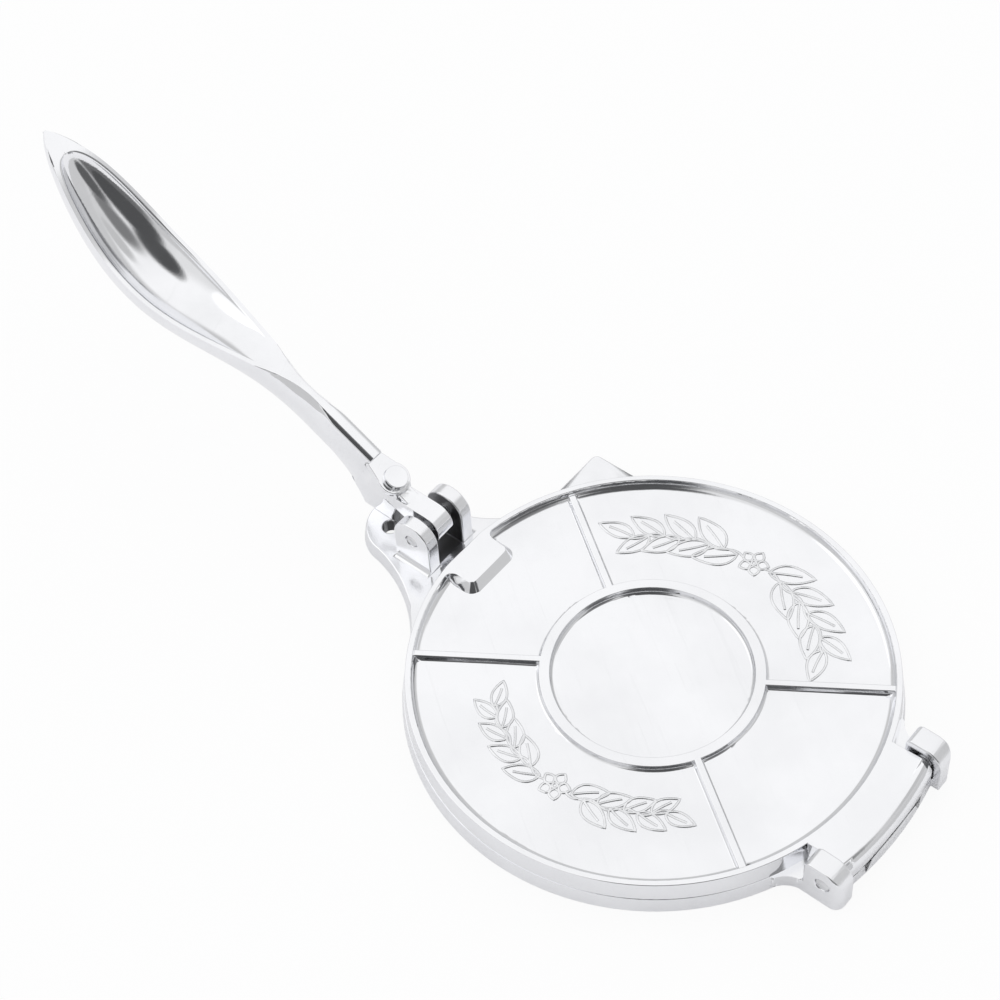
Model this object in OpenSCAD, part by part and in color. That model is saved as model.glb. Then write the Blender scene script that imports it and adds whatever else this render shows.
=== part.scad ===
// Tortilla press in polished cast aluminium, plate closed and lever folded out.
// Units are millimetres. The origin is the centre of the plates on the bench face,
// +Z is up, +X points to the plate hinge and -X to the lever.

/* [Base casting] */
// Diameter of the base plate on the bench
base_d = 207.6; // [150:0.2:260]
// Thickness of the base plate and its mounting nose
base_t = 7.5; // [5:0.1:12]
// How far each side wall leans inwards over the thickness of the base
base_draft = 1.1; // [0:0.1:2]
// Distance from the plate centre to the centre of the mounting nose
nose_x = 134.3; // [115:1:170]
// Radius of the mounting nose
nose_r = 18.4; // [14:0.1:26]
// Radius of the hollow curve between nose and plate on the near side
near_flare_r = 66; // [30:1:90]
// Radius of the hollow curve between nose and plate on the far side
far_flare_r = 42; // [30:1:90]
// Diameter of the screw hole through the nose
screw_d = 7; // [4:0.5:9]
// Distance of the screw hole from the plate centre
screw_x = 138.8; // [130:0.1:150]
// Sideways distance of the screw hole from the middle line
screw_y = 4.6; // [0:0.1:8]
// Distance from the middle line across to the far edge of the corner foot
foot_y = 83; // [70:0.5:95]
// Distance from the plate centre back to the lever-side edge of the corner foot
foot_x = 94; // [85:0.5:102]
// Thickness of the corner foot
foot_t = 5.5; // [3:0.1:7]
// Corner radius of the corner foot
foot_r = 3; // [1:0.5:8]

/* [Top plate] */
// Diameter of the top plate at its rim
plate_d = 203; // [150:1:250]
// Height of the top plate from its pressing face to its rim
plate_h = 8.9; // [7:0.1:14]
// Thickness of the plate web between the ribs
web_t = 4.4; // [3:0.1:6]
// Width of the rim on top
rim_w = 2.5; // [1.5:0.1:6]
// Radius of the hollow corner between rim and web
rim_fillet = 4.2; // [1:0.1:4.4]
// Outer diameter of the raised ring
ring_d = 93.2; // [60:0.2:120]
// Width of the raised ring on top
ring_w = 4.5; // [3:0.1:8]
// Height of ring and ribs above the web
ring_h = 2.6; // [1:0.1:4]
// Depth of the round panel below the top of the ring
panel_depth = 3.6; // [2:0.1:5]
// Radius of the hollow corner inside the ring
ring_fillet = 2.2; // [0.5:0.1:3]
// Radius of the hollow corner along the outer foot of the ring
ring_foot_r = 1.9; // [0.5:0.1:2.4]
// Width of a rib on top
rib_w = 2.8; // [2:0.1:6]
// Extra width of a rib at its foot
rib_foot = 1.6; // [0:0.1:4]
// Radius of the hollow corners along the foot of a rib
rib_foot_r = 1.4; // [0.5:0.1:2]
// Angle between a rib and the middle line
rib_angle = 34.1; // [20:0.1:60]
// How far from the plate centre the rib lines cross the middle line
rib_cross = 5.75; // [0:0.05:12]
// Length of the flat cut on the rim beside the lever
cut_w = 22; // [10:1:50]
// How far the pressing pad reaches in from the flat cut
pad_l = 15; // [12:0.5:20]
// Width of the pressing pad
pad_w = 24; // [18:0.5:34]
// Corner radius of the pressing pad
pad_r = 2.6; // [1:0.1:5]
// How far the pad walls lean out down to the web
pad_draft = 2.8; // [0.5:0.1:4]

/* [Plate hinge] */
// Gap between the rim of the top plate and the hinge pin centre
hinge_gap = 9.5; // [8:0.1:14]
// Height of the hinge pin centre above the bench
hinge_z = 12.8; // [12:0.1:20]
// Diameter of the hinge pin
hinge_pin_d = 6.4; // [5:0.1:9]
// Length of the hinge tongue between the ears
tongue_l = 58.8; // [40:0.2:90]
// Height of the tongue above the rim of the top plate
tongue_rise = 0.8; // [0.4:0.1:3]
// How far the lip of the tongue reaches past the hinge pin centre
lip_reach = 8; // [6:0.1:10]
// Radius of the rounding along the lip of the tongue
lip_r = 5.6; // [3:0.1:6]
// Plan radius of the bowed lip
lip_arc_r = 155; // [90:1:300]
// Gap between the swinging tongue and the trough in the base
trough_play = 0.4; // [0.3:0.05:1]
// Radius of the hinge ears round the pin
hinge_ear_r = 8.7; // [7:0.1:12]
// Thickness of each hinge ear
hinge_ear_t = 9.5; // [6:0.5:14]
// Radius of the hollow curve between hinge ear and plate
hinge_ear_flare_r = 12; // [4:0.5:20]
// Radius of the outer corner of each hinge ear
hinge_ear_corner = 4.5; // [1:0.5:6]

/* [Lever fork] */
// Distance from the plate centre to the lever pin centre
fork_x = 117.4; // [112:0.1:126]
// Height of the lever pin centre above the bench
fork_z = 22.9; // [20:0.1:30]
// Diameter of the lever pin
lever_pin_d = 6; // [4:0.1:8]
// Radius of the fork ears round the pin
fork_r = 9.8; // [8:0.1:12]
// Thickness of each fork ear
fork_ear_t = 6.4; // [4:0.1:10]
// Space between the two fork ears
fork_gap = 15.5; // [12:0.1:22]
// Radius of the hollow corner at the foot of each fork ear
fork_foot_r = 2.4; // [1:0.1:4]

/* [Lever] */
// Distance from the lever pin to the tip of the handle
lever_reach = 236; // [200:1:260]
// Angle of the folded-out lever above the bench
lever_tilt = 27.5; // [24:0.5:36]
// Width of the lever at the pin and the neck
neck_w = 9.6; // [7:0.1:12]
// Length of the flat neck behind the pin
neck_l = 15.4; // [12:0.1:20]
// Radius of the lever knuckle round the pin
knuckle_r = 7.7; // [5.5:0.1:9]
// Diameter of the pressing boss
boss_d = 10.4; // [8:0.1:14]
// Height of the pressing boss above its round seat
boss_h = 2.8; // [1.5:0.1:4]
// Radius of the round seat that carries the boss
seat_r = 7.4; // [6:0.1:9]
// Width of the round seat where it runs into the stem
seat_end_w = 8.2; // [7:0.1:12]
// How far the stem stands above the round seat
stem_step = 1.7; // [0.5:0.1:2.2]
// Width of the stem on top
stem_w = 7.8; // [6:0.1:12]
// Depth of the stem under its top
stem_depth = 24.4; // [12:0.5:26]
// Height of the rounded crown on the stem
stem_crown = 1.1; // [0.5:0.1:1.5]
// Distance from the pin to the near end of the stem top
stem_start = 36.5; // [34:0.5:40]
// Distance from the pin to where the stem starts to widen
stem_end = 66; // [55:1:80]
// Width of the spoon handle over its rim
spoon_w = 35.6; // [24:0.2:44]
// Distance from the pin to the widest place of the spoon handle
spoon_mid = 163; // [140:1:180]
// How far the rim of the spoon dips below the stem top
spoon_dip = 18.9; // [8:0.1:24]
// How far the tip rises again above the dip
spoon_rise = 15.3; // [5:0.1:20]
// Width of the spoon rim
spoon_rim = 2.2; // [1.5:0.1:4]
// Depth of the spoon hollow
spoon_depth = 8.5; // [4:0.1:10]
// Depth of the spoon casting under its rim
spoon_back = 16; // [12:0.5:18]
// Thickness of the heel where it rests on the nose
heel_w = 1.8; // [1:0.1:4]
// Distance from the lever pin out to the near end of the heel face
heel_front = 20; // [14:0.5:26]
// Radius of the hollow curve between heel and stem
heel_curve_r = 42; // [30:0.5:60]

/* [Fits] */
// Clearance round a pin in the part that turns on it
pin_play = 0.05; // [0.02:0.01:0.1]
// Side clearance between the tongue and each hinge ear
side_play = 1; // [0.4:0.1:2]
// How far the pin ends sit inside the outer faces
pin_inset = 0.4; // [0.2:0.1:2]
// Air left between boss and pad when the lever is pressed home
press_play = 0.02; // [0.01:0.01:0.1]

/* [Hidden] */
$fn = 96;
over = 0.5;
blend_bite = 0.2;
foot_dip = 0.06;
base_r = base_d / 2;
base_top_r = base_r - base_draft;
plate_r = plate_d / 2;
plate_foot_r = base_top_r - 0.2;
rim_z = base_t + plate_h;
web_z = base_t + web_t;
ring_z = web_z + ring_h;
ring_r = ring_d / 2;
ring_in_r = ring_r - ring_w;
panel_z = ring_z - panel_depth;
rim_in_r = plate_r - rim_w;
cut_x = sqrt(plate_r * plate_r - cut_w * cut_w / 4);
pad_x = cut_x - pad_l;
pad_mid_x = (cut_x + pad_x) / 2;
hinge_x = plate_r + hinge_gap;
hinge_in_y = tongue_l / 2 + side_play;
tongue_z = rim_z + tongue_rise;
lip_x = hinge_x + lip_reach;
lip_top_z = tongue_z - lip_r - hinge_z;
swing_r = sqrt(lip_reach * lip_reach + lip_top_z * lip_top_z) + 0.1;
hinge_out_y = hinge_in_y + hinge_ear_t;
fork_in_y = fork_gap / 2;
fork_out_y = fork_in_y + fork_ear_t;
boss_reach = fork_x - pad_mid_x;
boss_n = fork_z - rim_z - press_play;
seat_n = boss_n - boss_h;
stem_n = seat_n + stem_step;
heel_z = base_t - fork_z;
seat_t = 3;
heel_back_s = 58;
stations = 40;
side_points = 14;
top_points = 12;

// Which piece to draw

base();
top_plate();
lever();
hinge_pin();
lever_pin();

// A cylinder along Y, centred on the middle line
module cross_cylinder(r, l) {
    rotate([90, 0, 0])
        cylinder(r = r, h = l, center = true);
}

// A side outline in X and Z drawn out along Y, centred on the middle line
module across(l) {
    rotate([90, 0, 0])
        linear_extrude(l, center = true)
            children();
}

// Centre of the circle of radius r that touches both the nose and the plate
function flare_x(r) = (pow(base_r + r, 2) - pow(nose_r + r, 2) + nose_x * nose_x) / (2 * nose_x);
function flare_y(r) = sqrt(pow(base_r + r, 2) - pow(flare_x(r), 2));

// Hollow curve between nose and plate on the +Y side, cut a little into both of them
module flare(r) {
    difference() {
        linear_extrude(base_t)
            polygon([[-nose_x, 0], [-nose_x, -1], [0, -1], [0, 0], [-flare_x(r), flare_y(r)]]);
        translate([-flare_x(r), flare_y(r), -over])
            cylinder(r1 = r + blend_bite - base_draft * over / base_t,
                     r2 = r + blend_bite + base_draft * (1 + over / base_t),
                     h = base_t + 2 * over);
    }
}

// Solid outline of base plate and nose with the hollow curves between them
module base_outline() {
    cylinder(r1 = base_r, r2 = base_top_r, h = base_t);
    translate([-nose_x, 0, 0])
        cylinder(r1 = nose_r, r2 = nose_r - base_draft, h = base_t);
    flare(far_flare_r);
    mirror([0, 1, 0])
        flare(near_flare_r);
}

// Sill between the hinge ears, with the bowed front and the trough for the tongue
module hinge_sill() {
    difference() {
        intersection() {
            translate([lip_x - lip_arc_r, 0, 0])
                cylinder(r = lip_arc_r, h = base_t);
            translate([base_r * 0.8, -hinge_in_y - over, 0])
                cube([base_r, 2 * (hinge_in_y + over), base_t]);
        }
        translate([hinge_x, 0, hinge_z])
            cross_cylinder(swing_r + trough_play, 2 * hinge_in_y);
    }
}

// Square foot that sticks out from the far side of the base
module corner_foot() {
    linear_extrude(foot_t) {
        translate([-foot_x + foot_r, foot_y - foot_r])
            circle(foot_r);
        translate([-foot_x + foot_r, base_r / 3])
            square([foot_x - foot_r - base_r / 3, foot_y - base_r / 3]);
        translate([-foot_x, base_r / 3])
            square([foot_r * 2, foot_y - foot_r - base_r / 3]);
    }
}

// Side outline of one hinge ear
module hinge_ear_side() {
    translate([hinge_x, hinge_z])
        circle(hinge_ear_r);
    translate([hinge_x - hinge_ear_r, 0])
        square([hinge_ear_r, hinge_z + hinge_ear_r]);
    translate([hinge_x - hinge_ear_r, 0])
        square([2 * hinge_ear_r, hinge_z]);
}

// Plan outline of one hinge ear with its foot back to the plate
module hinge_ear_plan() {
    translate([hinge_x - hinge_ear_r, hinge_in_y])
        square([2 * hinge_ear_r, hinge_ear_t - hinge_ear_corner]);
    translate([hinge_x - hinge_ear_r, hinge_in_y])
        square([2 * hinge_ear_r - hinge_ear_corner, hinge_ear_t]);
    translate([hinge_x + hinge_ear_r - hinge_ear_corner, hinge_out_y - hinge_ear_corner])
        circle(hinge_ear_corner);
}

// One hinge ear on the +Y side with the web that joins it to the base plate
module hinge_ear() {
    intersection() {
        translate([0, hinge_in_y + hinge_ear_t / 2, 0])
            across(hinge_ear_t)
                hinge_ear_side();
        linear_extrude(hinge_z + hinge_ear_r)
            hinge_ear_plan();
    }
    translate([base_r * 0.75, hinge_in_y, 0])
        cube([hinge_x - hinge_ear_r * 0.5 - base_r * 0.75, hinge_ear_t, base_t]);
    ear_flare();
}

// Hollow curve in plan between the hinge ear and the rim of the base
module ear_flare() {
    r = hinge_ear_flare_r;
    y = hinge_out_y + r - blend_bite;
    x = sqrt(pow(base_r + r - blend_bite, 2) - y * y);
    difference() {
        linear_extrude(base_t)
            polygon([[x * 0.8, hinge_out_y - over], [x * 0.8, y * 0.8], [x, y], [x, hinge_out_y - over]]);
        translate([x, y, -over])
            cylinder(r = r, h = base_t + 2 * over);
    }
}

// Side outline of one fork ear
module fork_ear_side() {
    translate([-fork_x, fork_z])
        circle(fork_r);
    translate([-fork_x - fork_r, base_t / 2])
        square([2 * fork_r, fork_z - base_t / 2]);
}

// Hollow corner along the outside foot of a fork ear
module fork_foot() {
    translate([-fork_x, 0, 0])
        rotate([90, 0, 90])
            linear_extrude(2 * fork_r, center = true)
                difference() {
                    translate([fork_out_y - over, base_t - over])
                        square(fork_foot_r + over);
                    translate([fork_out_y + fork_foot_r, base_t + fork_foot_r])
                        circle(fork_foot_r);
                }
}

// Base casting with nose, fork ears, hinge ears and corner foot
module base() {
    color("silver")
        difference() {
            union() {
                base_outline();
                corner_foot();
                hinge_sill();
                for (side = [0, 1])
                    mirror([0, side, 0]) {
                        hinge_ear();
                        translate([0, fork_in_y + fork_ear_t / 2, 0])
                            across(fork_ear_t)
                                fork_ear_side();
                        fork_foot();
                    }
            }
            translate([hinge_x, 0, hinge_z])
                cross_cylinder(hinge_pin_d / 2, 2 * hinge_out_y + 2 * over);
            translate([-fork_x, 0, fork_z])
                cross_cylinder(lever_pin_d / 2, 2 * fork_out_y + 2 * over);
            translate([-screw_x, -screw_y, -over])
                cylinder(d = screw_d, h = base_t + 2 * over);
        }
}

// Half section of the top plate, turned round the centre
module plate_section() {
    difference() {
        polygon([[0, base_t], [plate_foot_r, base_t], [plate_r, rim_z], [0, rim_z]]);
        difference() {
            translate([ring_r, web_z])
                square([rim_in_r - ring_r, plate_h]);
            difference() {
                translate([rim_in_r - rim_fillet, web_z])
                    square(rim_fillet);
                translate([rim_in_r - rim_fillet, web_z + rim_fillet])
                    circle(rim_fillet);
            }
            difference() {
                translate([ring_r, web_z])
                    square(ring_foot_r);
                translate([ring_r + ring_foot_r, web_z + ring_foot_r])
                    circle(ring_foot_r);
            }
        }
        translate([0, ring_z])
            square([rim_in_r - over, plate_h]);
        difference() {
            translate([-over, panel_z])
                square([ring_in_r + over, plate_h]);
            difference() {
                translate([ring_in_r - ring_fillet, panel_z])
                    square(ring_fillet);
                translate([ring_in_r - ring_fillet, panel_z + ring_fillet])
                    circle(ring_fillet);
            }
        }
    }
}

// One rib with leaning sides and hollow feet from the ring out to the rim
module rib() {
    lean = rib_foot / 2 / (ring_h + over);
    root = rib_w / 2 + (ring_h - rib_foot_r) * lean - foot_dip;
    reach = rim_in_r - rib_cross * cos(rib_angle) + rim_w / 2;
    start = ring_in_r + ring_w / 2 - rib_cross * cos(rib_angle);
    translate([rib_cross, 0, 0])
        rotate([90, 0, 90 + rib_angle])
            translate([0, 0, start])
                linear_extrude(reach - start) {
                    polygon([[-rib_w / 2 - rib_foot / 2, web_z - over],
                             [rib_w / 2 + rib_foot / 2, web_z - over],
                             [rib_w / 2, ring_z],
                             [-rib_w / 2, ring_z]]);
                    for (side = [0, 1])
                        mirror([side, 0])
                            difference() {
                                translate([root, web_z - over])
                                    square([rib_foot_r, rib_foot_r + over]);
                                translate([root + rib_foot_r, web_z + rib_foot_r - foot_dip])
                                    circle(rib_foot_r);
                            }
                }
}

// Pressing pad at rim height with rounded corners and leaning walls
module pad() {
    foot = pad_draft * (rim_z - web_z + over) / (rim_z - web_z);
    hull()
        for (side = [-1, 1])
            for (end = [pad_x + pad_r, cut_x - pad_r])
                translate([-end, side * (pad_w / 2 - pad_r), web_z - over])
                    cylinder(r1 = pad_r + foot, r2 = pad_r, h = rim_z - web_z + over, $fn = 32);
}

// Plan outline of the hollow corners between pad and rim
module pad_corner() {
    grow = pad_draft + 1;
    back = sqrt(rim_in_r * rim_in_r - (pad_w / 2 + grow) * (pad_w / 2 + grow));
    difference() {
        translate([-cut_x, pad_w / 2 - over])
            square([cut_x - back + grow, grow + over]);
        translate([-back + grow, pad_w / 2 + grow])
            circle(grow);
    }
}

// Top plate with rim, ring, four ribs, pressing pad and hinge barrel
module top_plate() {
    color("gainsboro")
        difference() {
            union() {
                difference() {
                    rotate_extrude($fn = 144)
                        plate_section();
                    translate([-cut_x - plate_r, -plate_r, 0])
                        cube([plate_r, plate_d, rim_z + over]);
                }
                for (turn = [0, 1])
                    for (side = [0, 1])
                        mirror([turn, 0, 0])
                            mirror([0, side, 0])
                                rib();
                intersection() {
                    union() {
                        pad();
                        translate([0, 0, web_z - over])
                            linear_extrude(rim_z - web_z + over)
                                for (side = [0, 1])
                                    mirror([0, side])
                                        pad_corner();
                    }
                    translate([-cut_x, -plate_r, 0])
                        cube([plate_r, plate_d, rim_z]);
                    cylinder(r = rim_in_r + rim_w / 2, h = rim_z);
                }
                hinge_tongue();
            }
            translate([hinge_x, 0, hinge_z])
                cross_cylinder(hinge_pin_d / 2 + pin_play, tongue_l + 2 * over);
        }
}

// Tongue from the rim out to a bowed and rounded lip, bored for the hinge pin
module hinge_tongue() {
    inner = lip_arc_r - lip_x + plate_r * 0.9;
    difference() {
        intersection() {
            translate([lip_x - lip_arc_r, 0, 0])
                rotate_extrude($fn = 200) {
                    translate([lip_arc_r - lip_r, tongue_z - lip_r])
                        circle(lip_r);
                    polygon([[inner, hinge_z - swing_r],
                             [lip_arc_r, hinge_z - swing_r],
                             [lip_arc_r, tongue_z - lip_r],
                             [lip_arc_r - lip_r, tongue_z],
                             [lip_arc_r - lip_reach - hinge_gap, rim_z],
                             [inner, rim_z]]);
                }
            across(tongue_l)
                tongue_side();
        }
        cylinder(r = rim_in_r + rim_w * 0.4, h = rim_z + over);
    }
}

// Side outline of the room that the tongue may fill
module tongue_side() {
    translate([hinge_x, hinge_z])
        circle(swing_r);
    translate([plate_r * 0.9, base_t])
        square([hinge_x - plate_r * 0.9, tongue_z + over - base_t]);
    translate([hinge_x, hinge_z])
        square([lip_reach + over, tongue_z + over - hinge_z]);
}

// Straight line between two values with soft ends
function ease(from, to, part) = from + (to - from) * (1 - cos(180 * min(1, max(0, part)))) / 2;

// Height of the handle rim above the pin line
function rim_n(s) = s < spoon_mid
    ? ease(stem_n, stem_n - spoon_dip, (s - stem_end) / (spoon_mid - stem_end))
    : ease(stem_n - spoon_dip, stem_n - spoon_dip + spoon_rise, (s - spoon_mid) / (lever_reach - spoon_mid));

// Half width of the handle
function half_w(s) = s < spoon_mid
    ? ease(stem_w / 2, spoon_w / 2, (s - stem_end) / (spoon_mid - stem_end))
    : spoon_w / 2 * max(0.045, pow(1 - pow((s - spoon_mid) / (lever_reach - spoon_mid), 2.2), 0.75));

// How much lower the back of the lever lies on its way down to the heel
function heel_drop(s) = s < heel_back_s
    ? heel_curve_r - sqrt(pow(heel_curve_r, 2) - pow(heel_back_s - s, 2))
    : 0;

// Depth of the casting under the rim
function back_d(s) = s < spoon_mid
    ? ease(stem_depth, spoon_back, (s - stem_end * 0.9) / (spoon_mid - stem_end) * 1.3) + heel_drop(s)
    : max(1.5, spoon_back * pow(1 - pow((s - spoon_mid) / (lever_reach - spoon_mid), 3), 0.5));

// Part of the full hollow that is reached
function hollow(s) = s < spoon_mid
    ? ease(0, 1, (s - stem_end - 25) / (spoon_mid - stem_end - 35))
    : ease(1, 0, (s - spoon_mid - 5) / (lever_reach - spoon_mid - 9));

// Part of the crown on the stem that is left
function crown(s) = ease(1, 0, (s - stem_end * 0.9) / (spoon_mid - stem_end) * 3);

// Part of the way from the flat blade of the stem to the round back of the spoon
function roundness(s) = ease(0, 1, (s - stem_end * 0.9) / (spoon_mid - stem_end) * 1.3);

// One ring of points round the handle at distance s from the pin
function ring_points(s) = let (
        w = half_w(s),
        wi = max(w * 0.4, w - spoon_rim),
        n = rim_n(s),
        d = back_d(s),
        h = spoon_depth * hollow(s),
        c = stem_crown * crown(s),
        across_power = 1 - 0.4 * roundness(s),
        down_power = 1 - 0.28 * roundness(s)
    ) concat(
        [for (i = [0 : side_points]) let (a = 180 * i / side_points)
            [s,
             w * sign(cos(a)) * pow(abs(cos(a)), across_power),
             n - d * pow(abs(sin(a)), down_power)]],
        [for (i = [1 : top_points - 1]) let (
                u = i == 1 ? -wi / w : i == top_points - 1 ? wi / w
                    : wi / w * (2 * (i - 1) / (top_points - 2) - 1),
                v = u * w / wi)
            [s, w * u, n + c * (1 - u * u) - h * pow(max(0, 1 - v * v), 0.75)]]
    );

// Handle from the near end of the stem to the tip of the spoon
module handle() {
    count = side_points + top_points;
    last = lever_reach;
    place = [for (i = [0 : stations]) stem_start + (last - stem_start) * (1 - pow(1 - i / stations, 1.25))];
    points = [for (s = place) each ring_points(s)];
    sides = [for (i = [0 : stations - 1]) for (k = [0 : count - 1]) for (half = [0, 1])
        let (a = i * count + k, b = i * count + (k + 1) % count)
            half == 0 ? [a, b, b + count] : [a, b + count, a + count]];
    keel = side_points / 2;
    near_end = [for (k = [1 : count - 2]) [keel, (keel + k + 1) % count, (keel + k) % count]];
    far = stations * count;
    far_end = [for (k = [1 : count - 2]) [far + keel, far + (keel + k) % count, far + (keel + k + 1) % count]];
    polyhedron(points = points, faces = concat(sides, near_end, far_end), convexity = 8);
}

// A place in the side view, s along the lever and n above the line through its pin
function on_lever(s, n) = [-s * cos(lever_tilt) + n * sin(lever_tilt), s * sin(lever_tilt) + n * cos(lever_tilt)];

// Side outline of the neck, level on top while the lever is folded out
module neck_side() {
    polygon([[0, knuckle_r],
             [-neck_l, knuckle_r],
             on_lever(boss_reach - seat_r * 0.8, seat_n - seat_t / 2),
             on_lever(boss_reach + seat_r, seat_n - seat_t / 2),
             on_lever(boss_reach + seat_r, -knuckle_r),
             [-knuckle_r * 0.5, -knuckle_r * 0.7]]);
}

// Side outline of the blade from the neck down to the heel that stops the lever
module heel_side() {
    top_n = seat_n - seat_t / 2;
    low_n = stem_n - stem_depth;
    intersection() {
        polygon(concat(
            [on_lever(knuckle_r, top_n),
             on_lever(stem_start + 3, top_n),
             on_lever(stem_start + 3, low_n - 2)],
            [for (s = [stem_start - 0.5 : -1 : 22]) on_lever(s, low_n - heel_drop(s))],
            [[-heel_front, heel_z * 1.5],
             [-heel_front, heel_z],
             [-knuckle_r * 0.5, -knuckle_r * 0.7]]));
        translate([-lever_reach, heel_z])
            square(lever_reach);
    }
}

// Section of the heel across the lever, thin at the foot
module heel_section() {
    top = stem_w / 2 - 0.4;
    mid = heel_w / 2 + 0.7;
    mid_n = stem_n - stem_depth;
    polygon([[-top, knuckle_r],
             [-top, 0],
             [-mid, mid_n],
             [-heel_w / 2, heel_z * 2.3],
             [heel_w / 2, heel_z * 2.3],
             [mid, mid_n],
             [top, 0],
             [top, knuckle_r]]);
}

// Round seat under the boss with the taper that leads into the stem
module seat() {
    translate([0, 0, seat_n - seat_t])
        linear_extrude(seat_t) {
            translate([boss_reach + 0.6, 0])
                circle(seat_r);
            polygon([[boss_reach + 0.6, -seat_r + 0.3],
                     [stem_start + 1, -seat_end_w / 2],
                     [stem_start + 1, seat_end_w / 2],
                     [boss_reach + 0.6, seat_r - 0.3]]);
        }
    translate([boss_reach + 0.6, 0, seat_n - seat_t - 5])
        cylinder(r1 = stem_w / 2, r2 = seat_r, h = 5);
}

// Lever with knuckle, neck, heel, seat, pressing boss, stem and spoon handle
module lever() {
    color("whitesmoke")
        translate([-fork_x, 0, fork_z])
            difference() {
                union() {
                    cross_cylinder(knuckle_r, neck_w);
                    across(neck_w)
                        neck_side();
                    intersection() {
                        across(stem_w)
                            heel_side();
                        rotate([0, lever_tilt, 0])
                            rotate([90, 0, 90])
                                linear_extrude(lever_reach, center = true)
                                    heel_section();
                    }
                    rotate([0, lever_tilt, 0])
                        rotate([0, 0, 180]) {
                            seat();
                            translate([boss_reach, 0, seat_n - over])
                                cylinder(d = boss_d, h = boss_h + over);
                            handle();
                        }
                }
                cross_cylinder(lever_pin_d / 2 + pin_play, neck_w + 2 * over);
            }
}

// Pin of the plate hinge, fast in the hinge ears
module hinge_pin() {
    color("slategray")
        translate([hinge_x, 0, hinge_z])
            cross_cylinder(hinge_pin_d / 2, 2 * (hinge_out_y - pin_inset));
}

// Pin of the lever, fast in the fork ears
module lever_pin() {
    color("slategray")
        translate([-fork_x, 0, fork_z])
            cross_cylinder(lever_pin_d / 2, 2 * (fork_out_y - pin_inset));
}
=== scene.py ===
import math

import bmesh
import bpy
from mathutils import Matrix, Vector


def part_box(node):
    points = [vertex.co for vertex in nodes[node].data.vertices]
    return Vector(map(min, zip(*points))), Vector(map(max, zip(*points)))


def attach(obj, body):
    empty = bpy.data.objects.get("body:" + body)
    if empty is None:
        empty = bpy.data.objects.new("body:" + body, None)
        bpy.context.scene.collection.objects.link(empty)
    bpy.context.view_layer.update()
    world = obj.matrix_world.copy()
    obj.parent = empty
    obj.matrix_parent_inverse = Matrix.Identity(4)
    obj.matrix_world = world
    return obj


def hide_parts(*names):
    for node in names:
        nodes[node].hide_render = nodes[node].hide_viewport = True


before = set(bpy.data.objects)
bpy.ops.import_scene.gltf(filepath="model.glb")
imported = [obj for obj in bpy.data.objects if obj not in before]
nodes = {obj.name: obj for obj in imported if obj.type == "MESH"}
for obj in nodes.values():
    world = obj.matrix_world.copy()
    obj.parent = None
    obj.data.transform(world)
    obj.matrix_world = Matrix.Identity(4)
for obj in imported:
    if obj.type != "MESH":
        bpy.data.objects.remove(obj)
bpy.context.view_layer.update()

mm = 0.001
scene = bpy.context.scene


# node helpers
def addSocket(group, name, kind, value=None, side="INPUT"):
    socket = group.interface.new_socket(name=name, in_out=side, socket_type=kind)
    if value is not None:
        socket.default_value = value
    return socket


def give(tree, socket, value):
    # a number, colour or vector is set on the socket, and another node's output is linked to it
    if isinstance(value, bpy.types.NodeSocket):
        tree.links.new(value, socket)
    else:
        socket.default_value = value


def feed(tree, node, **values):
    for name, value in values.items():
        give(tree, node.inputs[name.replace("_", " ")], value)


def mathNode(tree, operation, *values, clamp=False):
    node = tree.nodes.new("ShaderNodeMath")
    node.operation = operation
    node.use_clamp = clamp
    for socket, value in zip(node.inputs, values):
        give(tree, socket, value)
    return node.outputs["Value"]


def vectorNode(tree, operation, *values):
    node = tree.nodes.new("ShaderNodeVectorMath")
    node.operation = operation
    for socket, value in zip(node.inputs, values):
        give(tree, socket, value)
    return node.outputs["Value" if operation == "DOT_PRODUCT" else "Vector"]


def rangeNode(tree, value, start, end, first=0.0, last=1.0, curve="LINEAR"):
    node = tree.nodes.new("ShaderNodeMapRange")
    node.interpolation_type = curve
    feed(tree, node, Value=value, From_Min=start, From_Max=end, To_Min=first, To_Max=last)
    return node.outputs["Result"]


def noiseNode(tree, vector, scale, detail, roughness=0.5):
    node = tree.nodes.new("ShaderNodeTexNoise")
    feed(tree, node, Vector=vector, Scale=scale, Detail=detail, Roughness=roughness)
    return node.outputs["Fac"]


def layNode(tree, vector, turn, stretch=(1.0, 1.0, 1.0)):
    node = tree.nodes.new("ShaderNodeMapping")
    feed(tree, node, Vector=vector, Rotation=(0.0, 0.0, turn), Scale=stretch)
    return node.outputs["Vector"]


def mixNode(tree, kind, factor, first, second):
    # kind is RGBA or FLOAT, and each has its own sockets on the one node
    node = tree.nodes.new("ShaderNodeMix")
    node.data_type = kind
    places = (0, 6, 7) if kind == "RGBA" else (0, 2, 3)
    for place, value in zip(places, (factor, first, second)):
        give(tree, node.inputs[place], value)
    return node.outputs[2 if kind == "RGBA" else 0]


# finishes
finish = {
    "castColor": (0.935, 0.94, 0.96, 1.0),
    "castDull": (0.875, 0.88, 0.90, 1.0),
    "scrollColor": (0.86, 0.865, 0.88, 1.0),
    "scrollDull": (0.74, 0.745, 0.76, 1.0),
    "pinColor": (0.80, 0.805, 0.82, 1.0),
    "pinDull": (0.62, 0.625, 0.64, 1.0),
    # dark colour painted into slots and holes as shade
    "slotShadeColor": (0.20, 0.20, 0.205, 1.0),
    "slotRough": 0.35,
}

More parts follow.
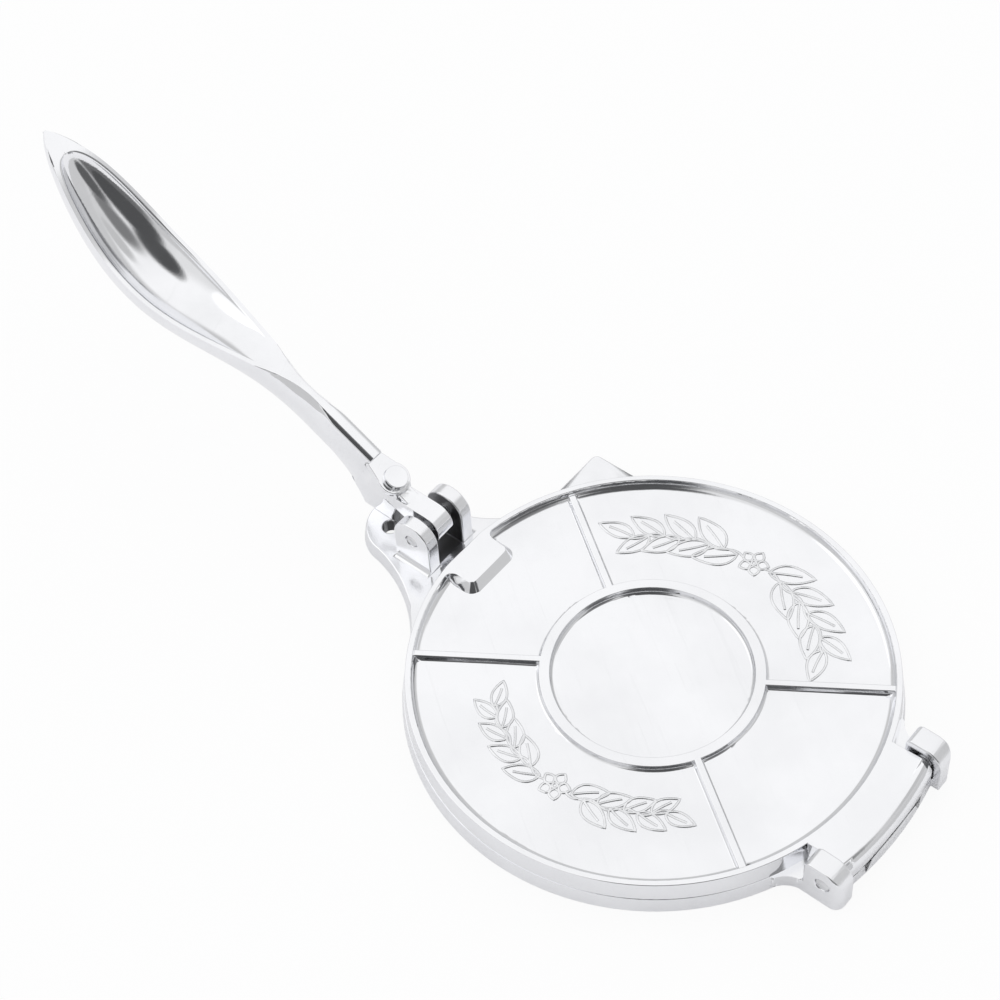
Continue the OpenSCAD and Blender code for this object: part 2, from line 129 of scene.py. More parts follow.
polish = {
    "cloudDetail": 5.0,
    "cloudRoughness": 0.55,
    "cloudFrom": 0.38,
    "cloudTo": 0.68,
    "hairlines": ((0.5, 30.0), (-0.9, 22.0)),      # turn and stretch of each direction
    "hairUpShare": 0.5,    # how much of the stretch a hairline has in height
    "hairDetail": 3.0,
    "hairRoughness": 0.7,
    "hairFrom": 0.60,
    "hairTo": 0.74,
    "hairWear": 0.35,
    "poreScale": 1400.0,
    "poreDetail": 3.0,
    "poreHeight": 0.12,
    "hairHeight": -0.05,
    "swellScale": 55.0,    # slow waviness left by the buffing wheel
    "swellDetail": 1.0,
    "bumpDistance": 0.0006,
}


def makePolishMarks():
    # cloudy buffing, hairline scratches and fine casting pores for every metal here
    group = bpy.data.node_groups.new("polishMarks", "ShaderNodeTree")
    addSocket(group, "Vector", "NodeSocketVector")
    addSocket(group, "Clean Color", "NodeSocketColor", (0.9, 0.9, 0.9, 1.0))
    addSocket(group, "Dull Color", "NodeSocketColor", (0.8, 0.8, 0.8, 1.0))
    for name, value in (("Cloud Scale", 30.0), ("Hairline Scale", 160.0), ("Smooth", 0.08),
                        ("Rough", 0.22), ("Bump", 0.05)):
        addSocket(group, name, "NodeSocketFloat", value)
    addSocket(group, "Color", "NodeSocketColor", side="OUTPUT")
    addSocket(group, "Roughness", "NodeSocketFloat", side="OUTPUT")
    addSocket(group, "Normal", "NodeSocketVector", side="OUTPUT")
    given = group.nodes.new("NodeGroupInput").outputs
    result = group.nodes.new("NodeGroupOutput").inputs

    cloud = noiseNode(group, given["Vector"], given["Cloud Scale"], polish["cloudDetail"],
                      polish["cloudRoughness"])
    cloudMask = rangeNode(group, cloud, polish["cloudFrom"], polish["cloudTo"])
    hairMasks = []
    for turn, stretch in polish["hairlines"]:      # noise drawn out long
        upright = stretch * polish["hairUpShare"]
        along = layNode(group, given["Vector"], turn, (1.0, stretch, upright))
        hair = noiseNode(group, along, given["Hairline Scale"], polish["hairDetail"],
                         polish["hairRoughness"])
        hairMasks.append(rangeNode(group, hair, polish["hairFrom"], polish["hairTo"]))
    hairs = mathNode(group, "MAXIMUM", *hairMasks)
    wear = mathNode(group, "MULTIPLY_ADD", hairs, polish["hairWear"], cloudMask)
    wear = mathNode(group, "MINIMUM", wear, 1.0)
    color = mixNode(group, "RGBA", wear, given["Clean Color"], given["Dull Color"])
    rough = rangeNode(group, wear, 0.0, 1.0, given["Smooth"], given["Rough"])

    pores = noiseNode(group, given["Vector"], polish["poreScale"], polish["poreDetail"])
    swell = noiseNode(group, given["Vector"], polish["swellScale"], polish["swellDetail"])
    height = mathNode(group, "MULTIPLY_ADD", pores, polish["poreHeight"], swell)
    height = mathNode(group, "MULTIPLY_ADD", hairs, polish["hairHeight"], height)
    bump = group.nodes.new("ShaderNodeBump")
    feed(group, bump, Distance=polish["bumpDistance"], Strength=given["Bump"], Height=height)
    group.links.new(color, result["Color"])
    group.links.new(rough, result["Roughness"])
    group.links.new(bump.outputs["Normal"], result["Normal"])
    return group


def makePaintedSlotShade():
    # painted shade in a narrow slot or hole where little light reaches: a soft-edged box in object
    # coordinates that marks where the metal's colour is darkened
    group = bpy.data.node_groups.new("paintedSlotShade", "ShaderNodeTree")
    addSocket(group, "Vector", "NodeSocketVector")
    addSocket(group, "Middle", "NodeSocketVector", (0.0, 0.0, 0.0))
    addSocket(group, "Half Size", "NodeSocketVector", (0.01, 0.01, 0.01))
    addSocket(group, "Fade", "NodeSocketFloat", 0.001)
    addSocket(group, "Mask", "NodeSocketFloat", side="OUTPUT")
    given = group.nodes.new("NodeGroupInput").outputs
    result = group.nodes.new("NodeGroupOutput").inputs
    away = vectorNode(group, "SUBTRACT", given["Vector"], given["Middle"])
    away = vectorNode(group, "ABSOLUTE", away)
    room = group.nodes.new("ShaderNodeSeparateXYZ")
    group.links.new(vectorNode(group, "SUBTRACT", given["Half Size"], away), room.inputs[0])
    least = mathNode(group, "MINIMUM", room.outputs["X"], room.outputs["Y"])
    least = mathNode(group, "MINIMUM", least, room.outputs["Z"])
    group.links.new(rangeNode(group, least, 0.0, given["Fade"]), result["Mask"])
    return group


polishMarks = makePolishMarks()
paintedSlotShade = makePaintedSlotShade()

metals = {
    "polishedPlateCasting": {
        "clean": finish["castColor"], "dull": finish["castDull"], "smooth": 0.06, "rough": 0.17,
        "cloudScale": 22.0, "hairlineScale": 14.0, "bump": 0.12, "turn": 0.6, "slots": ()},
    "polishedBaseCasting": {
        "clean": finish["castColor"], "dull": finish["castDull"], "smooth": 0.14, "rough": 0.26,
        "cloudScale": 26.0, "hairlineScale": 14.0, "bump": 0.22, "turn": -0.4,
        "slots": (         # painted shade between the fork's ears, and inside the screw hole
            {"middle": (-0.1174, 0.0, 0.0194), "half": (0.0090, 0.00805, 0.0123),
             "fade": 0.0003},
            {"middle": (-0.1388, -0.0046, 0.0030), "half": (0.0036, 0.0036, 0.0040),
             "fade": 0.0004})},
    "polishedLeverCasting": {
        "clean": finish["castColor"], "dull": finish["castDull"], "smooth": 0.05, "rough": 0.15,
        "cloudScale": 34.0, "hairlineScale": 18.0, "bump": 0.14, "turn": 1.2, "slots": ()},
    "castScrollLines": {
        "clean": finish["scrollColor"], "dull": finish["scrollDull"], "smooth": 0.14, "rough": 0.28,
        "cloudScale": 120.0, "hairlineScale": 40.0, "bump": 0.4, "turn": 0.0, "slots": ()},
    "turnedSteelPin": {
        "clean": finish["pinColor"], "dull": finish["pinDull"], "smooth": 0.18, "rough": 0.36,
        "cloudScale": 160.0, "hairlineScale": 60.0, "bump": 0.4, "turn": 0.0, "slots": ()},
}


def makeMetal(name, values):
    material = bpy.data.materials.new(name)
    material.use_nodes = True
    tree = material.node_tree
    surface = tree.nodes["Principled BSDF"]
    coords = tree.nodes.new("ShaderNodeTexCoord").outputs["Object"]
    marks = tree.nodes.new("ShaderNodeGroup")
    marks.node_tree = polishMarks
    feed(tree, marks, Vector=layNode(tree, coords, values["turn"]), Clean_Color=values["clean"],
         Dull_Color=values["dull"], Cloud_Scale=values["cloudScale"],
         Hairline_Scale=values["hairlineScale"], Smooth=values["smooth"], Rough=values["rough"],
         Bump=values["bump"])
    color, rough, shadeMask = marks.outputs["Color"], marks.outputs["Roughness"], None
    # each slot mixes a dark colour into the metal as painted shade
    for slot in values["slots"]:
        slotShade = tree.nodes.new("ShaderNodeGroup")
        slotShade.node_tree = paintedSlotShade
        feed(tree, slotShade, Vector=coords, Middle=slot["middle"], Half_Size=slot["half"],
             Fade=slot["fade"])
        here = slotShade.outputs["Mask"]
        shadeMask = here if shadeMask is None else mathNode(tree, "MAXIMUM", shadeMask, here)
    if shadeMask is not None:
        color = mixNode(tree, "RGBA", shadeMask, color, finish["slotShadeColor"])
        rough = mixNode(tree, "FLOAT", shadeMask, rough, finish["slotRough"])
    feed(tree, surface, Metallic=1.0, Base_Color=color, Roughness=rough,
         Normal=marks.outputs["Normal"])
    return material


metal = {name: makeMetal(name, values) for name, values in metals.items()}
print("finishes made")


# helpers for the pieces
edges = {
    "merge": 0.004 * mm,
    "slim": 0.002 * mm,
    "tiny": 0.001 * mm,
    "flat": math.radians(0.35),
    "marked": math.radians(32.0),        # an edge that turns less stays as it is
    "sideBySide": math.radians(50.0),
    "crispReach": 3 * mm,
    "seamHeight": 7.5 * mm,
    "seamSpare": 0.1 * mm,
    "seamRadius": 100 * mm,
    "seamSide": 101 * mm,
}


def putPiece(name, bm, material, body, smoothAngle):
    mesh = bpy.data.meshes.new(name)
    bm.to_mesh(mesh)
    bm.free()
    mesh.polygons.foreach_set("use_smooth", [True] * len(mesh.polygons))
    mesh.set_sharp_from_angle(angle=math.radians(smoothAngle))
    piece = bpy.data.objects.new(name, mesh)
    scene.collection.objects.link(piece)
    mesh.materials.append(material)
    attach(piece, body)
    return piece


def mergedCopy(nodeName):
    # a CAD node's mesh is loose triangles, so the copy is merged and its flats joined
    bm = bmesh.new()
    bm.from_mesh(nodes[nodeName].data)
    bmesh.ops.remove_doubles(bm, verts=bm.verts, dist=edges["merge"])
    bmesh.ops.dissolve_degenerate(bm, dist=edges["slim"], edges=bm.edges)
    bmesh.ops.dissolve_limit(bm, angle_limit=edges["flat"], use_dissolve_boundaries=False,
                             verts=bm.verts, edges=bm.edges)
    return bm


def staysCrisp(middle, crispSpots):
    # the seam between the plates, and spots where a wide rounding would cross itself
    onSeam = (abs(middle.z - edges["seamHeight"]) < edges["seamSpare"]
              and middle.xy.length > edges["seamRadius"] and abs(middle.x) < edges["seamSide"])
    return onSeam or any((middle - Vector(spot) * mm).length < edges["crispReach"]
                         for spot in crispSpots)


def markEdges(bm, hollowShare, ridgeShare, crispSpots=()):
    # hollow corners and ridges get their own width, and of two edges that run nearly side by side
    # out of one corner the shorter gets none
    weight = bm.edges.layers.float.new("bevel_weight_edge")
    marked = set()
    for edge in bm.edges:
        if len(edge.link_faces) != 2 or edge.calc_face_angle(0.0) < edges["marked"]:
            continue
        if staysCrisp((edge.verts[0].co + edge.verts[1].co) / 2, crispSpots):
            continue
        edge[weight] = hollowShare if edge.calc_face_angle_signed(0.0) < 0 else ridgeShare
        marked.add(edge)
    for vert in bm.verts:
        here = [edge for edge in vert.link_edges if edge in marked]
        for k, first in enumerate(here):
            for second in here[k + 1:]:
                ways = [edge.other_vert(vert).co - vert.co for edge in (first, second)]
                if ways[0].angle(ways[1]) < edges["sideBySide"]:
                    short = first if first.calc_length() < second.calc_length() else second
                    short[weight] = 0.0


def softenEdges(piece, width, segments):
    soften = piece.modifiers.new("softEdges", "BEVEL")
    soften.width = width
    soften.segments = segments
    soften.limit_method = "WEIGHT"
    soften.use_clamp_overlap = False
    soften.harden_normals = True


# castings; hollow and ridge are the share of the edge's width that each kind of corner gets, and
# smooth is the angle in degrees up to which faces are shaded as one
castings = {
    "base": {"piece": "base_casting", "metal": "polishedBaseCasting", "edge": 0.7 * mm,
             "segments": 3, "smooth": 30.0, "hollow": 1.0, "ridge": 1.0, "crisp": (),
             "ears": {"place": Vector((0.1023, 0.0215)), "spare": 0.05 * mm, "round": 3.2 * mm,
                      "segments": 6}},
    "top_plate": {"piece": "top_plate_casting", "metal": "polishedPlateCasting", "edge": 0.35 * mm,
                  "segments": 3, "smooth": 30.0, "hollow": 0.5, "ridge": 1.0,
                  "crisp": ((-94.0, 12.0, 16.0), (-94.0, -12.0, 16.0))},
}


def roundEarTops(bm, ears):
    # the inner top corner of both hinge ears runs over in a wide arc
    corners = [edge for edge in bm.edges
               if all((vert.co.xz - ears["place"]).length < ears["spare"] for vert in edge.verts)]
    bmesh.ops.bevel(bm, geom=corners, offset=ears["round"], offset_type="OFFSET", affect="EDGES",
                    segments=ears["segments"], profile=0.5, material=-1)


for nodeName, values in castings.items():
    bm = mergedCopy(nodeName)
    if "ears" in values:
        roundEarTops(bm, values["ears"])
    markEdges(bm, values["hollow"], values["ridge"], values["crisp"])
    piece = putPiece(values["piece"], bm, metal[values["metal"]], nodeName,
                     values["smooth"])
    softenEdges(piece, values["edge"], values["segments"])
    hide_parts(nodeName)
    print(nodeName, "dressed")


# lever: the cast head keeps its CAD form, the handle is drawn anew with a fine smooth skin;
# lengths are in mm along the lever from its pin, and powers shape how a measure runs out
lever = {
    "pin": Vector((-117.4, 0.0, 22.9)),
    "tilt": math.radians(27.5),
    "reach": 236.0,
    "topN": 5.38,                    # stem top above the line through the pin
    "stemWidth": 7.8,
    "stemDepth": 24.4,
    "stemCrown": 1.1,
    "stemStart": 36.45,
    "stemEnd": 66.0,
    "roundFrom": 59.4,               # where the stem's section begins to round off
    "roundPace": 1.3,
    "crownPace": 3.0,
    "sideRound": 0.4,
    "backRound": 0.28,
    "spoonWidth": 35.6,
    "spoonMid": 163.0,
    "spoonDip": 18.9,
    "spoonRise": 15.3,
    "spoonRim": 2.2,
    "spoonBack": 16.0,
    "tipWidthPowers": (2.2, 0.75),
    "tipWidthLeast": 0.045,
    "tipBackPowers": (3.0, 0.5),
    "tipBackLeast": 1.5,
    "hollowDepth": 8.5,
    "hollowFrom": 91.0,
    "hollowFull": 153.0,
    "hollowEnd": 223.0,              # the hollow stops short of the tip in a round end
    "hollowDepthPowers": (5.0, 0.85),
    "hollowEndPowers": (14.0, 0.5),
    "hollowEndLeast": 0.02,
    "hollowAcrossPowers": (2.0, 0.75),
    "innerLeast": 0.4,
    "heelBack": 58.0,
    "heelCurve": 42.0,
    "scoopFrom": 58.0,               # hollow facets on both flanks where the stem widens
    "scoopTo": 104.0,
    "scoopDepth": 2.3,
    "scoopPower": 1.3,
    "scoopFacing": (0.82, 0.57),
    "scoopDown": 7.0,
    "headEnd": 39.6,                 # where the copied head is cut off inside the handle
    "headEdge": 0.4 * mm,
    "headSegments": 2,
    "headSmooth": 30.0,
    "handleSmooth": 50.0,
    "rings": 190,
    "ringPower": 1.35,               # rings lie closer together towards the tip
    "sidePoints": 36,
    "rimPoints": 3,
    "bowlPoints": 34,
}
leverAlong = Vector((-math.cos(lever["tilt"]), 0.0, math.sin(lever["tilt"])))
leverUp = Vector((math.sin(lever["tilt"]), 0.0, math.cos(lever["tilt"])))


def ease(start, end, part):
    return start + (end - start) * (1 - math.cos(math.pi * min(1.0, max(0.0, part)))) / 2


def runOut(part, powers):
    # 1 where part is 0, then slowly and at last steeply down to 0 where part is 1
    return max(0.0, 1 - part ** powers[0]) ** powers[1]


def handleSizes(s):
    v = lever
    widenRun = v["spoonMid"] - v["stemEnd"]
    rounding = (s - v["roundFrom"]) / widenRun
    if s < v["spoonMid"]:
        widen = (s - v["stemEnd"]) / widenRun
        rimN = ease(v["topN"], v["topN"] - v["spoonDip"], widen)
        half = ease(v["stemWidth"] / 2, v["spoonWidth"] / 2, widen)
        drop = 0.0
        if s < v["heelBack"]:
            drop = v["heelCurve"] - math.sqrt(v["heelCurve"] ** 2 - (v["heelBack"] - s) ** 2)
        deep = ease(v["stemDepth"], v["spoonBack"], rounding * v["roundPace"]) + drop
        hollow = ease(0, 1, (s - v["hollowFrom"]) / (v["hollowFull"] - v["hollowFrom"]))
        narrow = 1.0
    else:
        outer = (s - v["spoonMid"]) / (v["reach"] - v["spoonMid"])
        near = (s - v["spoonMid"]) / (v["hollowEnd"] - v["spoonMid"])
        rimN = ease(v["topN"] - v["spoonDip"], v["topN"] - v["spoonDip"] + v["spoonRise"], outer)
        half = v["spoonWidth"] / 2 * max(v["tipWidthLeast"], runOut(outer, v["tipWidthPowers"]))
        deep = max(v["tipBackLeast"], v["spoonBack"] * runOut(outer, v["tipBackPowers"]))
        hollow = runOut(near, v["hollowDepthPowers"])
        narrow = max(v["hollowEndLeast"], runOut(near, v["hollowEndPowers"]))
    return {"rimN": rimN, "half": half, "deep": deep, "hollow": v["hollowDepth"] * hollow,
            "narrow": narrow, "crown": v["stemCrown"] * ease(1, 0, rounding * v["crownPace"]),
            "round": ease(0, 1, rounding * v["roundPace"])}


def handleSection(s):
    # closed outline (across, above pin line): down one side, round the back, up, over the hollow
    z = handleSizes(s)
    half, rimN = z["half"], z["rimN"]
    inner = max(half * lever["innerLeast"], half - lever["spoonRim"]) * z["narrow"]
    outline = []
    for i in range(lever["sidePoints"] + 1):
        angle = math.pi * i / lever["sidePoints"]
        c, d = math.cos(angle), math.sin(angle)
        outline.append((half * math.copysign(abs(c) ** (1 - lever["sideRound"] * z["round"]), c),
                        rimN - z["deep"] * abs(d) ** (1 - lever["backRound"] * z["round"])))
    steps = [-half + (half - inner) * k / lever["rimPoints"] for k in range(1, lever["rimPoints"])]
    steps += [-inner + 2 * inner * k / lever["bowlPoints"] for k in range(lever["bowlPoints"] + 1)]
    steps += [-step for step in reversed(steps[:lever["rimPoints"] - 1])]
    for across in steps:
        crown = z["crown"] * (1 - (across / half) ** 2)
        sunk = z["hollow"] * runOut(abs(across / inner), lever["hollowAcrossPowers"])
        outline.append((across, rimN + crown - sunk))
    return scoopFlanks(s, outline, half, rimN)


def scoopFlanks(s, outline, half, rimN):
    part = (s - lever["scoopFrom"]) / (lever["scoopTo"] - lever["scoopFrom"])
    if not 0 < part < 1:
        return outline
    depth = lever["scoopDepth"] * math.sin(math.pi * part) ** lever["scoopPower"]
    outward, upward = lever["scoopFacing"]
    scooped = []
    for across, up in outline:
        over = (abs(across) - half) * outward + (up - rimN) * upward + depth
        if over > 0 and up > rimN - lever["scoopDown"]:
            across -= math.copysign(over * outward, across)
            up -= over * upward
        scooped.append((across, up))
    return scooped


def roundCorners(outline):
    # cuts every corner of a closed outline at its quarters
    cut = []
    for (ax, ay), (bx, by) in zip(outline, outline[1:] + outline[:1]):
        cut.append((0.75 * ax + 0.25 * bx, 0.75 * ay + 0.25 * by))
        cut.append((0.25 * ax + 0.75 * bx, 0.25 * ay + 0.75 * by))
    return cut


def makeHandle():
    rings = lever["rings"]
    sections = []
    for i in range(rings + 1):
        part = 1 - (1 - i / rings) ** lever["ringPower"]
        s = lever["stemStart"] + (lever["reach"] - lever["stemStart"]) * part
        sections.append((s, roundCorners(handleSection(s))))
    around = len(sections[0][1])
    bm = bmesh.new()
    bmesh.ops.create_grid(bm, x_segments=rings, y_segments=around, size=1.0)
    for vert in bm.verts:
        i = round((vert.co.x + 1) / 2 * rings)
        k = round((vert.co.y + 1) / 2 * around) % around
        s, outline = sections[i]
        across, up = outline[k]
        place = lever["pin"] + leverAlong * s + leverUp * up
        vert.co = (place.x * mm, -across * mm, place.z * mm)
    bmesh.ops.remove_doubles(bm, verts=bm.verts, dist=edges["slim"])
    bmesh.ops.holes_fill(bm, edges=bm.edges, sides=0)
    bmesh.ops.recalc_face_normals(bm, faces=bm.faces)
    return bm


def makeLeverHead():
    bm = mergedCopy("lever")
    cut = (lever["pin"] + leverAlong * lever["headEnd"]) * mm
    bmesh.ops.bisect_plane(bm, geom=bm.verts[:] + bm.edges[:] + bm.faces[:], dist=edges["tiny"],
                           plane_co=cut, plane_no=leverAlong, clear_outer=True)
    bmesh.ops.holes_fill(bm, edges=bm.edges, sides=0)
    markEdges(bm, 1.0, 1.0)
    return bm


leverMetal = metal["polishedLeverCasting"]
putPiece("lever_handle", makeHandle(), leverMetal, "lever", lever["handleSmooth"])
head = putPiece("lever_head", makeLeverHead(), leverMetal, "lever", lever["headSmooth"])
softenEdges(head, lever["headEdge"], lever["headSegments"])
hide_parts("lever")
print("lever made")


# pins, turned smooth with a small chamfer
pins = {
    "hinge_pin": {"piece": "plate_pin_turned", "chamfer": 0.5 * mm, "segments": 3, "sides": 64,
                  "smooth": 50.0},
    "lever_pin": {"piece": "lever_pin_turned", "chamfer": 0.5 * mm, "segments": 3, "sides": 64,
                  "smooth": 50.0},
}


def makePin(nodeName, values):
    low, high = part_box(nodeName)
    middle, radius = (low + high) / 2, (high.x - low.x) / 2
    bm = bmesh.new()
    bmesh.ops.create_cone(bm, cap_ends=True, segments=values["sides"], radius1=radius,
                          radius2=radius, depth=high.y - low.y)
    ends = [edge for edge in bm.edges
            if abs(edge.verts[0].co.z - edge.verts[1].co.z) < edges["tiny"]]
    bmesh.ops.bevel(bm, geom=ends, offset=values["chamfer"], offset_type="OFFSET", affect="EDGES",
                    segments=values["segments"], profile=0.5, material=-1)
    lying = Matrix.Rotation(math.pi / 2, 3, "X")
    bmesh.ops.rotate(bm, verts=bm.verts, cent=(0, 0, 0), matrix=lying)
    bmesh.ops.translate(bm, verts=bm.verts, vec=middle)
    return bm


for nodeName, values in pins.items():
    piece = putPiece(values["piece"], makePin(nodeName, values), metal["turnedSteelPin"], "base",
                     values["smooth"])
    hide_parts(nodeName)
print("pins made")


# leaf sprays in raised lines on the two wide fields of the top plate, in mm and degrees
sprays = {
    "webTop": 11.9,
    "lineRadius": 0.7,
    "lineRings": 2,
    "smooth": 60.0,
    "sink": 0.28,          # how far the middle of a line sits below the web
    "rootGap": 5.0,        # from the blossom's middle to the root of each branch
    "sway": 1.2,
    "branchPoints": 60,
    "leafPoints": 15,
    "leafStart": 0.25,     # how far along its own share of the branch a leaf leaves it
    "leafStagger": 0.5,    # how much later the leaf on the other hand does
    "leafLast": 0.97,
    "leafBend": 2.2,
    "leafEarly": 0.82,     # below 1 the leaf is widest short of its middle
    "leafFull": 0.9,
    "veinPoints": (0.0, 0.15, 0.3, 0.45, 0.6, 0.72),
    "leafShrink": 0.22,    # how much smaller the leaves at a branch's end are
    "petals": 5,
    "petalTurn": 1.2566,
    "petalStart": 0.3,
    "petalOut": 1.6,
    "petalSize": (5.0, 4.4),
    "eyePoints": 16,
    "eyeTurn": 0.3927,
    "eyeRadius": 1.1,
    "fields": {
        "leaf_spray_far": {"from": 44.0, "to": 136.0, "radius": 71.5, "leaf": 20.0, "width": 9.4,
                           "pairs": 6, "lean": 40.0},
        "leaf_spray_near": {"from": -131.0, "to": -46.0, "radius": 66.5, "leaf": 15.5, "width": 7.8,
                            "pairs": 6, "lean": 40.0},
    },
}


def outTo(angle, reach):
    return Vector((math.cos(angle), math.sin(angle))) * reach


def leafLines(place, angle, length, width, bend):
    # outline and middle vein of one leaf, drawn from its stalk
    ahead = outTo(angle, 1.0)
    side = Vector((-ahead.y, ahead.x))
    right, left = [], []
    for i in range(sprays["leafPoints"]):
        t = i / (sprays["leafPoints"] - 1)
        half = width / 2 * math.sin(math.pi * t ** sprays["leafEarly"]) ** sprays["leafFull"]
        spine = place + ahead * (length * t) + side * (bend * t * t)
        right.append(spine - side * half)
        left.append(spine + side * half)
    vein = [place + ahead * (length * t) + side * (bend * t * t) for t in sprays["veinPoints"]]
    return right + left[-2:0:-1], vein


def makeSpray(values):
    # closed outlines of the leaves, petals and eye, and the lines of branches and veins
    closed, drawn = [], []
    start, end = math.radians(values["from"]), math.radians(values["to"])
    middle, radius = (start + end) / 2, values["radius"]
    leafPairs = values["pairs"] // 2 + 1
    lean = math.radians(values["lean"])

    for sign in (-1, 1):
        tip = start if sign < 0 else end
        root = middle + sign * (sprays["rootGap"] / radius)
        branch = []
        for k in range(sprays["branchPoints"] - 1):
            t = k / sprays["branchPoints"]
            sway = sprays["sway"] * math.sin(t * math.pi * values["pairs"])
            branch.append(outTo(root + (tip - root) * t, radius + sway))
        drawn.append(branch)
        for k in range(leafPairs):
            t = (k + sprays["leafStart"]) / leafPairs
            shrink = 1.0 - sprays["leafShrink"] * t
            for hand in (-1, 1):
                later = t + (0.0 if hand > 0 else sprays["leafStagger"] / leafPairs)
                angle = root + (tip - root) * min(later, sprays["leafLast"])
                heading = angle + sign * math.pi / 2
                outline, vein = leafLines(outTo(angle, radius), heading + lean * hand,
                                          values["leaf"] * shrink, values["width"] * shrink,
                                          -hand * sprays["leafBend"])
                closed.append(outline)
                drawn.append(vein)
    blossom = outTo(middle, radius)
    for k in range(sprays["petals"]):
        angle = k * sprays["petalTurn"] + sprays["petalStart"]
        outline, _ = leafLines(blossom + outTo(angle, sprays["petalOut"]), angle,
                               *sprays["petalSize"], 0.0)
        closed.append(outline)
    closed.append([blossom + outTo(k * sprays["eyeTurn"], sprays["eyeRadius"])
                   for k in range(sprays["eyePoints"])])
    return closed, drawn


def linesToMesh(name, closed, drawn):
    height = sprays["webTop"] - sprays["sink"]
    curve = bpy.data.curves.new(name, "CURVE")
    curve.dimensions = "3D"
    curve.bevel_depth = sprays["lineRadius"] * mm
    curve.bevel_resolution = sprays["lineRings"]
    curve.use_fill_caps = True
    for lines, cyclic in ((closed, True), (drawn, False)):
        for points in lines:
            spline = curve.splines.new("POLY")
            spline.points.add(len(points) - 1)
            spline.use_cyclic_u = cyclic
            for point, at in zip(spline.points, points):
                point.co = (at.x * mm, at.y * mm, height * mm, 1.0)
    holder = bpy.data.objects.new(name + "_line", curve)
    scene.collection.objects.link(holder)
    depsgraph = bpy.context.evaluated_depsgraph_get()
    made = bpy.data.meshes.new_from_object(holder.evaluated_get(depsgraph))
    bm = bmesh.new()
    bm.from_mesh(made)
    bpy.data.objects.remove(holder)
    bpy.data.meshes.remove(made)
    bmesh.ops.remove_doubles(bm, verts=bm.verts, dist=edges["tiny"])
    bmesh.ops.recalc_face_normals(bm, faces=bm.faces)
    return bm


for name, values in sprays["fields"].items():
    closed, drawn = makeSpray(values)
    putPiece(name, linesToMesh(name, closed, drawn), metal["castScrollLines"], "top_plate",
             sprays["smooth"])
print("leaf sprays made")


# floor, light and camera
floorValues = {
    "size": 8.0,
    "drop": 0.00005,
    "color": (0.86, 0.86, 0.87, 1.0),
    "roughness": 0.9,
    "shadowKeep": 0.10,    # share of the object's shadow that the camera sees
    "mirrored": 0.1,       # share of plain white in what metal mirrors of the floor
}


def makeFloor():
    bm = bmesh.new()
    bmesh.ops.create_grid(bm, x_segments=1, y_segments=1, size=floorValues["size"] / 2)
    mesh = bpy.data.meshes.new("floor")
    bm.to_mesh(mesh)
    bm.free()
    floor = bpy.data.objects.new("floor", mesh)
    scene.collection.objects.link(floor)
    floor.location.z = -floorValues["drop"]
    material = bpy.data.materials.new("paleFloor")
    material.use_nodes = True
    tree = material.node_tree
    matte = tree.nodes["Principled BSDF"]
    feed(tree, matte, Base_Color=floorValues["color"], Roughness=floorValues["roughness"])
    glow = tree.nodes.new("ShaderNodeEmission")
    path = tree.nodes.new("ShaderNodeLightPath")
    share = 0.0
    for ray, part in (("Is Camera Ray", 1 - floorValues["shadowKeep"]),
                      ("Is Glossy Ray", floorValues["mirrored"]),
                      ("Is Transmission Ray", floorValues["mirrored"])):
        share = mathNode(tree, "MULTIPLY_ADD", path.outputs[ray], part, share, clamp=True)
    mix = tree.nodes.new("ShaderNodeMixShader")
    tree.links.new(share, mix.inputs[0])
    tree.links.new(matte.outputs[0], mix.inputs[1])
    tree.links.new(glow.outputs[0], mix.inputs[2])
    tree.links.new(mix.outputs[0], tree.nodes["Material Output"].inputs["Surface"])
    mesh.materials.append(material)


tent = {
    "softbox": (-0.42, 0.46, 0.78),      # the bright side, which level faces mirror to the camera
    "softboxFrom": 0.20,
    "softboxTo": 0.60,
    "frontShade": 0.20,
    "horizonShade": 0.40,
    "horizonFrom": 0.34,                 # height at which the horizon's shade begins to fade
    "horizonTo": 0.56,
    "gapFootFade": 0.12,
    "gapHeadFade": 0.14,
    "gapColor": (0.010, 0.011, 0.013, 1.0),
    "whiteColor": (1.0, 1.0, 1.0, 1.0),
    # where each dark gap lies, its widest and narrowest reach, lowest and highest part, and depth
    "gaps": (
        ((0.68, -0.73, 0.0), (0.78, 0.93), (-0.05, 0.34), 0.86),
        ((0.39, -0.42, 0.82), (0.90, 0.965), (0.10, 0.98), 0.93),
        ((0.62, -0.66, 0.42), (0.88, 0.95), (0.10, 0.90), 0.93),
        ((0.95, -0.08, 0.31), (0.93, 0.985), (0.05, 0.80), 0.90),
        ((0.76, 0.10, 0.64), (0.92, 0.985), (0.10, 0.95), 0.80),
        ((0.74, 0.50, 0.45), (0.93, 0.985), (0.10, 0.90), 0.35),
        ((0.55, 0.62, 0.56), (0.965, 0.99), (0.10, 0.90), 0.45),
    ),
}


